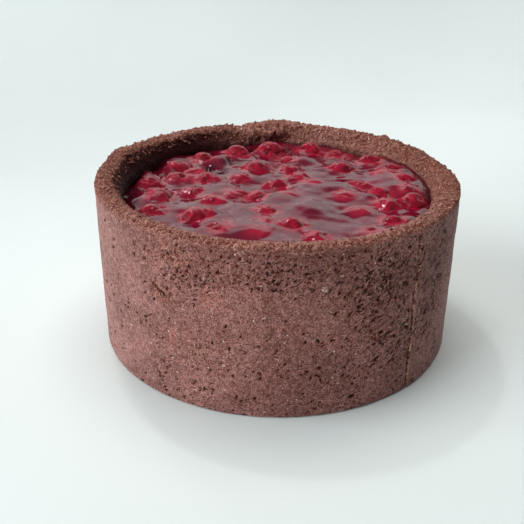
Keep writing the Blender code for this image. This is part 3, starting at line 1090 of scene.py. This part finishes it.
class Look:
    """A material, with short ways to build its nodes."""

    def __init__(self, name, roughness, ior):
        self.material = bpy.data.materials.new(name)
        self.material.use_nodes = True
        self.tree = self.material.node_tree
        self.shader = self.tree.nodes["Principled BSDF"]
        self.shader.inputs["Roughness"].default_value = roughness
        self.shader.inputs["IOR"].default_value = ior
        self.place = self.tree.nodes.new("ShaderNodeTexCoord").outputs["Object"]

    def put(self, socket, value):
        if isinstance(value, bpy.types.NodeSocket):
            self.tree.links.new(value, socket)
        else:
            socket.default_value = value

    def node(self, kind, inputs, **settings):
        made = self.tree.nodes.new(kind)
        for name, value in settings.items():
            setattr(made, name, value)
        for key, value in inputs.items():
            self.put(made.inputs[key], value)
        return made

    def noise(self, size, detail=2.0, place=None):
        inputs = {"Vector": place or self.place, "Scale": 1.0 / size, "Detail": detail}
        return self.node("ShaderNodeTexNoise", inputs).outputs["Fac"]

    def cells(self, size, place=None):
        inputs = {"Vector": place or self.place, "Scale": 1.0 / size}
        made = self.node("ShaderNodeTexVoronoi", inputs)
        return made.outputs["Distance"], made.outputs["Color"]

    def vector(self, operation, inputs):
        return self.node("ShaderNodeVectorMath", inputs, operation=operation).outputs[0]

    def shaken(self, size, reach):
        """The surface's own place, moved a little by noise."""
        noise = self.node("ShaderNodeTexNoise", {"Vector": self.place, "Scale": 1.0 / size})
        centred = self.vector("SUBTRACT", {0: noise.outputs["Color"], 1: (0.5,) * 3})
        moved = self.vector("SCALE", {0: centred, "Scale": reach})
        return self.vector("ADD", {0: self.place, 1: moved})

    def along_wall(self, rise, stretch):
        """Places on the unrolled wall, drawn out along a line that rises by so many degrees."""
        parts = self.node("ShaderNodeSeparateXYZ", {0: self.place}).outputs
        angle = self.maths("ARCTAN2", parts["X"], self.times(parts["Y"], -1.0))
        inputs = {0: self.times(angle, CASE_RADIUS), 1: parts["Z"], 2: 0.0}
        flat = self.node("ShaderNodeCombineXYZ", inputs).outputs[0]
        inputs = {"Vector": flat, "Angle": math.radians(-rise)}
        turned = self.node("ShaderNodeVectorRotate", inputs, rotation_type="Z_AXIS").outputs[0]
        return self.vector("MULTIPLY", {0: turned, 1: (1.0 / stretch, 1.0, 1.0)})

    def remap(self, value, low, high, first=0.0, last=1.0):
        inputs = {"Value": value, "From Min": low, "From Max": high, "To Min": first, "To Max": last}
        return self.node("ShaderNodeMapRange", inputs, interpolation_type="SMOOTHSTEP").outputs["Result"]

    def maths(self, operation, first, second):
        return self.node("ShaderNodeMath", {0: first, 1: second}, operation=operation).outputs[0]

    def times(self, first, second):
        return self.maths("MULTIPLY", first, second)

    def mix(self, share, first, second, blend="MIX"):
        made = self.tree.nodes.new("ShaderNodeMix")
        made.data_type = "RGBA"
        made.blend_type = blend
        for index, value in ((0, share), (6, first), (7, second)):
            self.put(made.inputs[index], value)
        return made.outputs[2]

    def tinted(self, colour, tint):
        return self.mix(1.0, colour, tint, "MULTIPLY")

    def painted(self, colour, *layers):
        """A colour with others over it, each given as its share and itself."""
        for share, other in layers:
            colour = self.mix(share, colour, other)
        return colour

    def attribute(self, name):
        return self.node("ShaderNodeAttribute", {}, attribute_name=name).outputs["Fac"]

    def shade(self, value, powers=(1.0, 1.0, 1.0)):
        """A colour to multiply another by: a value, raised to a power for each of its parts."""
        parts = {index: self.maths("POWER", value, power) for index, power in enumerate(powers)}
        return self.node("ShaderNodeCombineColor", parts).outputs[0]

    def bump(self, height, depth, strength=1.0, below=None):
        inputs = {"Height": height, "Distance": depth, "Strength": strength}
        made = self.node("ShaderNodeBump", inputs)
        if below is not None:
            self.put(made.inputs["Normal"], below)
        return made.outputs["Normal"]

    def finish(self, colour, normal=None, roughness=None):
        for key, value in (("Base Color", colour), ("Normal", normal), ("Roughness", roughness)):
            if value is not None:
                self.put(self.shader.inputs[key], value)
        return self.material


def crumb_tone(look, loose):
    """The crumbs' broad colours: pressed, loose, painted shade on the rim's sides, freshly broken, and
    the joint's ridge with its painted highlight.
    """
    patch = look.remap(look.noise(TONE_SIZE, 3.0), 0.4, 0.62)
    flaked = look.remap(look.noise(FLAKE_SIZE, 3.0), 0.44, 0.56, 0.3, 1.0)
    fresh = look.times(look.attribute("fresh"), flaked)
    colour = look.painted(PRESSED, (patch, PRESSED_DARK), (look.remap(loose, 0.3, 0.9), LOOSE))
    # painted shade on the rim's left and right sides
    side_shade = (look.attribute("side_shade"), look.tinted(colour, SIDE_SHADE))
    return look.painted(colour, side_shade, (fresh, FRESH), (look.attribute("ridge"), JOINT_RIDGE_HIGHLIGHT))


def crumb_grain(look, colour, loose):
    """The colour with flecks, sandy grain, fine gaps in painted shade and crests with painted
    highlights.
    """
    fleck = look.remap(look.noise(FLECK_SIZE, 3.0), 0.57, 0.65, 0.0, 0.7)
    grain = look.remap(look.noise(GRAIN_SIZE), 0.3, 0.7, *GRAIN_RANGE)
    mottle = look.remap(look.noise(MOTTLE_SIZE), 0.3, 0.7, *MOTTLE_RANGE)
    colour = look.mix(look.times(fleck, look.remap(loose, 0.5, 1.0)), colour, FLECK)
    colour = look.tinted(colour, look.shade(look.times(grain, mottle), GRAIN_TINT))
    fine = look.noise(CREST_SIZE, 3.0, look.shaken(*CREST_WARP))
    gaps = (look.remap(fine, 0.37, 0.42, 0.6, 0.0), GAP_SHADE)
    return look.painted(colour, gaps, (look.remap(fine, 0.6, 0.66, 0.0, 0.42), CREST_HIGHLIGHT))


def crumb_material(name, sheen):
    """Pressed chocolate crumbs: sandy grain, painted shade in the gaps and pits from red-brown to dark,
    painted glints, and painted shade on the rim's inner side.
    """
    look = Look(name, 0.8, 1.45)
    look.shader.inputs["Specular IOR Level"].default_value = CRUMB_SHINE
    look.shader.inputs["Sheen Weight"].default_value = sheen
    loose = look.attribute("loose")
    # painted shade on the rim's inner side, with a juice line near the jelly
    juice_and_shade = look.attribute("juice_and_shade")
    gap, dark = crumb_pit_shade(look)
    crumb_edge, _ = look.cells(LOOSE_CELL_SIZE, look.shaken(*LOOSE_WARP))
    # painted shade in the gaps between loose crumbs
    between = look.times(look.remap(crumb_edge, 0.45, 0.75), look.times(loose, 0.5))
    colour = look.painted(
        crumb_grain(look, crumb_tone(look, loose), loose),
        (look.maths("MAXIMUM", gap, between), GAP_SHADE),
        (dark, PIT_SHADE),
        (glint_share(look), GLINT_COLOUR),
        (juice_and_shade, SHADED_JUICE_CRUMB),
    )
    normal = look.bump(look.noise(0.6 * MM), 0.4 * MM)
    normal = look.bump(look.maths("ADD", gap, dark), -0.25 * MM, 0.8, below=normal)
    normal = look.bump(look.times(crumb_edge, loose), -0.5 * MM, 0.7, below=normal)
    dry = look.remap(look.noise(3.0 * MM), 0.3, 0.7, 0.66, 0.9)
    return look.finish(colour, normal, look.maths("SUBTRACT", dry, look.times(juice_and_shade, 0.2)))


def crumb_pit_shade(look):
    """Shares of painted shade in the pits, red-brown at their edges and dark inside: the modelled ones
    with torn edges, and smaller ones.
    """
    torn = look.remap(look.noise(0.6 * MM), 0.3, 0.7, -0.3, 0.3)
    modelled = look.maths("ADD", look.attribute("pit"), torn)
    gap = look.remap(modelled, 0.2, 0.4)
    dark = look.remap(modelled, 0.45, 0.7)
    crowd = look.attribute("crowd")
    for size, rise, stretch, sparse, dense in SMALL_PITS:
        noise = look.noise(size, 3.0, look.along_wall(rise, stretch))
        least = look.remap(crowd, 0.0, 0.85, sparse, dense)
        small = look.maths("SUBTRACT", noise, least)
        gap = look.maths("MAXIMUM", gap, look.remap(small, -0.02, 0.0))
        dark = look.maths("MAXIMUM", dark, look.remap(small, 0.005, 0.03))
    return gap, dark


def glint_share(look):
    """Where painted glints are: a few placed ones, and tiny ones all over."""
    distance, colour = look.cells(TINY_GLINT_SPACING)
    number = look.node("ShaderNodeSeparateColor", {0: colour}).outputs[2]
    reach = look.remap(number, 0.5, 1.0, 0.0, 0.12)
    tiny = look.remap(look.maths("SUBTRACT", reach, distance), -0.01, 0.02)
    torn = look.remap(look.noise(0.9 * MM), 0.4, 0.6, -0.5, 0.5)
    placed = look.remap(look.maths("ADD", look.attribute("pale"), torn), 0.5, 0.9)
    return look.maths("MAXIMUM", tiny, look.times(placed, 0.8))


def jelly_material():
    """Clear red jelly: brighter where a cherry lies close under it, with painted shade in its hollows,
    its cracks and beside the case.
    """
    look = Look("red_jelly", 0.04, 1.42)
    close = look.remap(look.attribute("depth"), 0.2, 4.0, 1.0, 0.0)
    colour = look.painted(JELLY_DEEP, (close, JELLY_THIN), (look.attribute("dark"), JELLY_SHADE))
    cloud = look.remap(look.noise(6.0 * MM, 1.0), 0.3, 0.7, 0.8, 1.2)
    colour = look.tinted(colour, look.shade(cloud))
    normal = look.bump(look.noise(4.0 * MM), 0.1 * MM, 0.35)
    roughness = look.remap(look.noise(6.0 * MM), 0.35, 0.7, 0.02, 0.05)
    return look.finish(colour, normal, roughness)


def cherry_material():
    """Soft cherry skin under a film of jelly."""
    look = Look("cherry_skin", 0.08, 1.4)
    patch = look.remap(look.noise(3.6 * MM, 3.0), 0.38, 0.66)
    colour = look.mix(patch, CHERRY_RED, CHERRY_DARK)
    normal = look.bump(look.noise(1.6 * MM, 3.0), 0.2 * MM, 0.6)
    roughness = look.remap(look.noise(2.0 * MM), 0.35, 0.7, 0.04, 0.11)
    return look.finish(colour, normal, roughness)


# ---------------- floor, light and view


def pale_material():
    """Pale paint, with a soft glow where the backdrop rises, and painted shade high up and far to the
    left and back.
    """
    look = Look("pale_paint", 0.7, 1.45)
    east, north, height = look.node("ShaderNodeSeparateXYZ", {0: look.place}).outputs
    fade = look.remap(height, *BACKDROP_FADE, 1.0, 0.15)
    glow = look.times(look.remap(height, *BACKDROP_RISE, 0.0, BACKDROP_GLOW), fade)
    look.shader.inputs["Emission Color"].default_value = GLOW_COLOUR
    look.put(look.shader.inputs["Emission Strength"], glow)
    cloud = look.remap(look.noise(0.35), 0.3, 0.7, 0.97, 1.03)
    far = look.remap(look.maths("SUBTRACT", north, east), *FLOOR_FADE, 1.0, FLOOR_SHADE)
    shade = look.shade(look.times(look.times(cloud, far), fade))
    return look.finish(look.tinted(FLOOR_COLOUR, shade))


def build_stage():
    """A floor that bends up into a backdrop far behind the cake."""
    turns = np.radians(np.linspace(0.0, 90.0, 25))
    forward = BEND_START + BEND_RADIUS * np.sin(turns)
    upward = BEND_RADIUS * (1.0 - np.cos(turns))
    outline = [(-FLOOR_REACH, 0.0), *zip(forward.tolist(), upward.tolist())]
    outline.append((BEND_START + BEND_RADIUS, BACKDROP_TOP))
    points = [(side, y, z) for y, z in outline for side in (-FLOOR_REACH, FLOOR_REACH)]
    faces = [(2 * row, 2 * row + 1, 2 * row + 3, 2 * row + 2) for row in range(len(outline) - 1)]
    sheet = add_object("floor", smooth_mesh("floor", points, faces, pale_material()))


def soft_light(name, azimuth, elevation, distance, size, power, colour, mirrored):
    """A lamp that looks at the cake from the given side, and may show in the jelly as a highlight."""
    light = bpy.data.lights.new(name, "AREA")
    light.shape = "RECTANGLE"
    light.size, light.size_y = size
    light.energy = power
    light.color = colour
    lamp = add_object(name, light)
    turn = math.radians(azimuth)
    rise = math.radians(elevation)
    away = Vector((math.cos(turn) * math.cos(rise), math.sin(turn) * math.cos(rise), math.sin(rise)))
    lamp.location = Vector(LAMP_AIM) + away * distance
    lamp.rotation_euler = (-away).to_track_quat("-Z", "Y").to_euler()
    lamp.visible_camera = False
    lamp.visible_glossy = mirrored


def build_lights():
    for name, numbers in LAMPS.items():
        soft_light(name, *numbers)
    world = bpy.data.worlds.new("studio")
    world.use_nodes = True
    background = world.node_tree.nodes["Background"]
    background.inputs["Color"].default_value = ROOM_COLOUR
    background.inputs["Strength"].default_value = ROOM_LIGHT
    bpy.context.scene.world = world


def build_camera():
    data = bpy.data.cameras.new("view")
    data.sensor_width = 36.0
    data.lens = CAMERA_LENS
    camera = add_object("view", data)
    turn = Matrix.Rotation(math.radians(90.0 - CAMERA_PITCH), 4, "X")
    roll = Matrix.Rotation(math.radians(CAMERA_ROLL), 4, "Z")
    camera.matrix_world = Matrix.Translation(CAMERA_PLACE) @ turn @ roll
    bpy.context.scene.camera = camera


def main():
    build_camera()
    build_lights()
    build_stage()
    rim_crumb = crumb_material("rim_crumb", RIM_SHEEN)
    wall = build_wall(crumb_material("pressed_crumb", WALL_SHEEN))
    rim = build_rim(rim_crumb)
    build_crumbs(rim, wall, rim_crumb)
    build_jelly(jelly_material())
    skin = cherry_material()
    for node in cherry_nodes():
        build_cherry(node, skin)
    bpy.context.scene.view_settings.view_transform = "Standard"


main()
